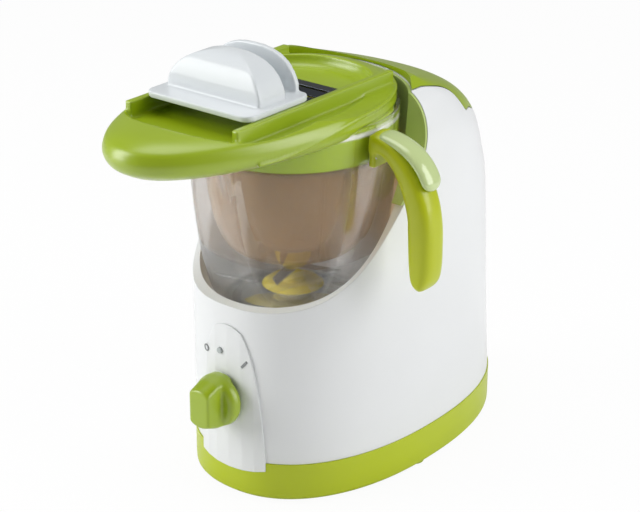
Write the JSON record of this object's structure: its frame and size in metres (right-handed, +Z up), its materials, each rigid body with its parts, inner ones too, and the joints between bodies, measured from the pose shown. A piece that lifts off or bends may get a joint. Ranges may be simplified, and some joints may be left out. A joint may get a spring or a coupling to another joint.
{
  "type": "baby food maker",
  "caption": "Countertop steamer and blender for baby food: clear jug with handle, slicing lid with food pusher, water tank tower and control knob.",
  "frame": {"origin": "centre of the footprint on the table, at the underside of the rubber feet", "axes": "+Z up; -Y is the front, where the knob is; the jug handle is on +X"},
  "size_m": [0.198, 0.3465, 0.3104],
  "materials": {
    "lime_gloss": "glossy",
    "plinth_lime": "glossy",
    "white_gloss": "glossy",
    "pusher_white": "satin",
    "olive_panel": "satin",
    "handle_lime": "glossy",
    "pad_pale": "soft matte",
    "jug_clear": "clear",
    "basket_smoke": "tinted clear",
    "tank_clear": "clear",
    "hub_yellow": "glossy",
    "steel": "brushed",
    "dark_steel": "brushed, dark",
    "cast_aluminium": "cast",
    "lamination": "stacked sheet",
    "black_plastic": "matte",
    "grey_plastic": "matte",
    "ivory_plastic": "matte",
    "board_green": "satin",
    "lens_grey": "clear tinted",
    "foot_rubber": "matte",
    "black_rubber": "matte",
    "white_silicone": "matte"
  },
  "bodies": {
    "base": {"base_plinth": "plinth_lime", "rubber_feet": "foot_rubber", "base_screws": "steel", "outer_housing": "white_gloss", "seat_ring": "black_rubber", "control_fascia": "white_gloss", "scale_marks": "grey_plastic", "indicator_lens": "lens_grey", "selector_switch": "grey_plastic", "control_board": "board_green", "motor_frame": "cast_aluminium", "motor_stator": "lamination", "upper_bearing": "steel", "lower_bearing": "steel", "motor_grommets": "black_rubber", "motor_screws": "steel", "shaft_seal": "black_rubber", "boiler": "cast_aluminium", "boiler_heater": "steel", "thermostat": "black_plastic", "thermal_fuse": "ivory_plastic", "water_tank": "tank_clear", "tank_gasket": "black_rubber", "water_pipe": "white_silicone", "steam_pipe": "white_silicone", "steam_nozzle": "grey_plastic", "tower_panel": "olive_panel", "cap_hinge_pin": "steel", "interlock_switch": "black_plastic", "cord_gland": "grey_plastic"},
    "knob": {"control_knob": "lime_gloss", "knob_shaft": "ivory_plastic"},
    "rotor": {"rotor_core": "lamination", "motor_shaft": "steel", "cooling_fan": "black_plastic", "drive_coupling": "ivory_plastic"},
    "cap": {"tank_cap": "lime_gloss"},
    "safety_pin": {"interlock_pin": "ivory_plastic"},
    "jug": {"jug_bowl": "jug_clear", "jug_handle": "handle_lime", "thumb_pad": "pad_pale", "handle_screws": "steel", "blade_bush": "steel"},
    "blade": {"blade_hub": "hub_yellow", "blades": "steel", "jug_coupling": "grey_plastic"},
    "basket": {"steam_basket": "basket_smoke"},
    "lid": {"lid_tray": "lime_gloss", "lid_collar": "lime_gloss", "lid_seal": "white_silicone", "cutter_frame": "dark_steel", "cutter_blades": "dark_steel"},
    "pusher_body": {"pusher": "pusher_white", "food_pins": "steel"}
  },
  "joints": [
    {"name": "knob_turn", "type": "hinge", "parent": "base", "child": "knob", "pos_m": [-0.003, -0.1289, 0.073], "axis": [0, -1, 0], "range_deg": [-60, 60]},
    {"name": "motor_spin", "type": "hinge", "parent": "base", "child": "rotor", "pos_m": [0, -0.0595, 0.06], "axis": [0, 0, 1], "continuous": true},
    {"name": "cap_hinge", "type": "hinge", "parent": "base", "child": "cap", "pos_m": [0, 0.0942, 0.229], "axis": [-1, 0, 0], "range_deg": [0, 100]},
    {"name": "jug_lift", "type": "slide", "parent": "base", "child": "jug", "axis": [0, 0, 1], "range_m": [0, 0.12]},
    {"name": "safety_pin_rise", "type": "slide", "parent": "base", "child": "safety_pin", "axis": [0, 0, 1], "range_m": [0, 0.003]},
    {"name": "blade_spin", "type": "hinge", "parent": "jug", "child": "blade", "pos_m": [0, -0.0595, 0.13], "axis": [0, 0, 1], "continuous": true},
    {"name": "lid_lift", "type": "slide", "parent": "jug", "child": "lid", "axis": [0, 0, 1], "range_m": [0, 0.18]},
    {"name": "basket_lift", "type": "slide", "parent": "jug", "child": "basket", "axis": [0, 0, 1], "range_m": [0, 0.09]},
    {"name": "pusher_slide", "type": "slide", "parent": "lid", "child": "pusher_body", "axis": [0, 1, 0], "range_m": [-0.01, 0.068]}
  ],
  "couplings": [
    {"joint": "blade_spin", "follows": "motor_spin", "ratio": 1},
    {"joint": "safety_pin_rise", "follows": "jug_lift", "ratio": 0.025},
    {"joint": "basket_lift", "follows": "lid_lift", "ratio": 0.5}
  ]
}
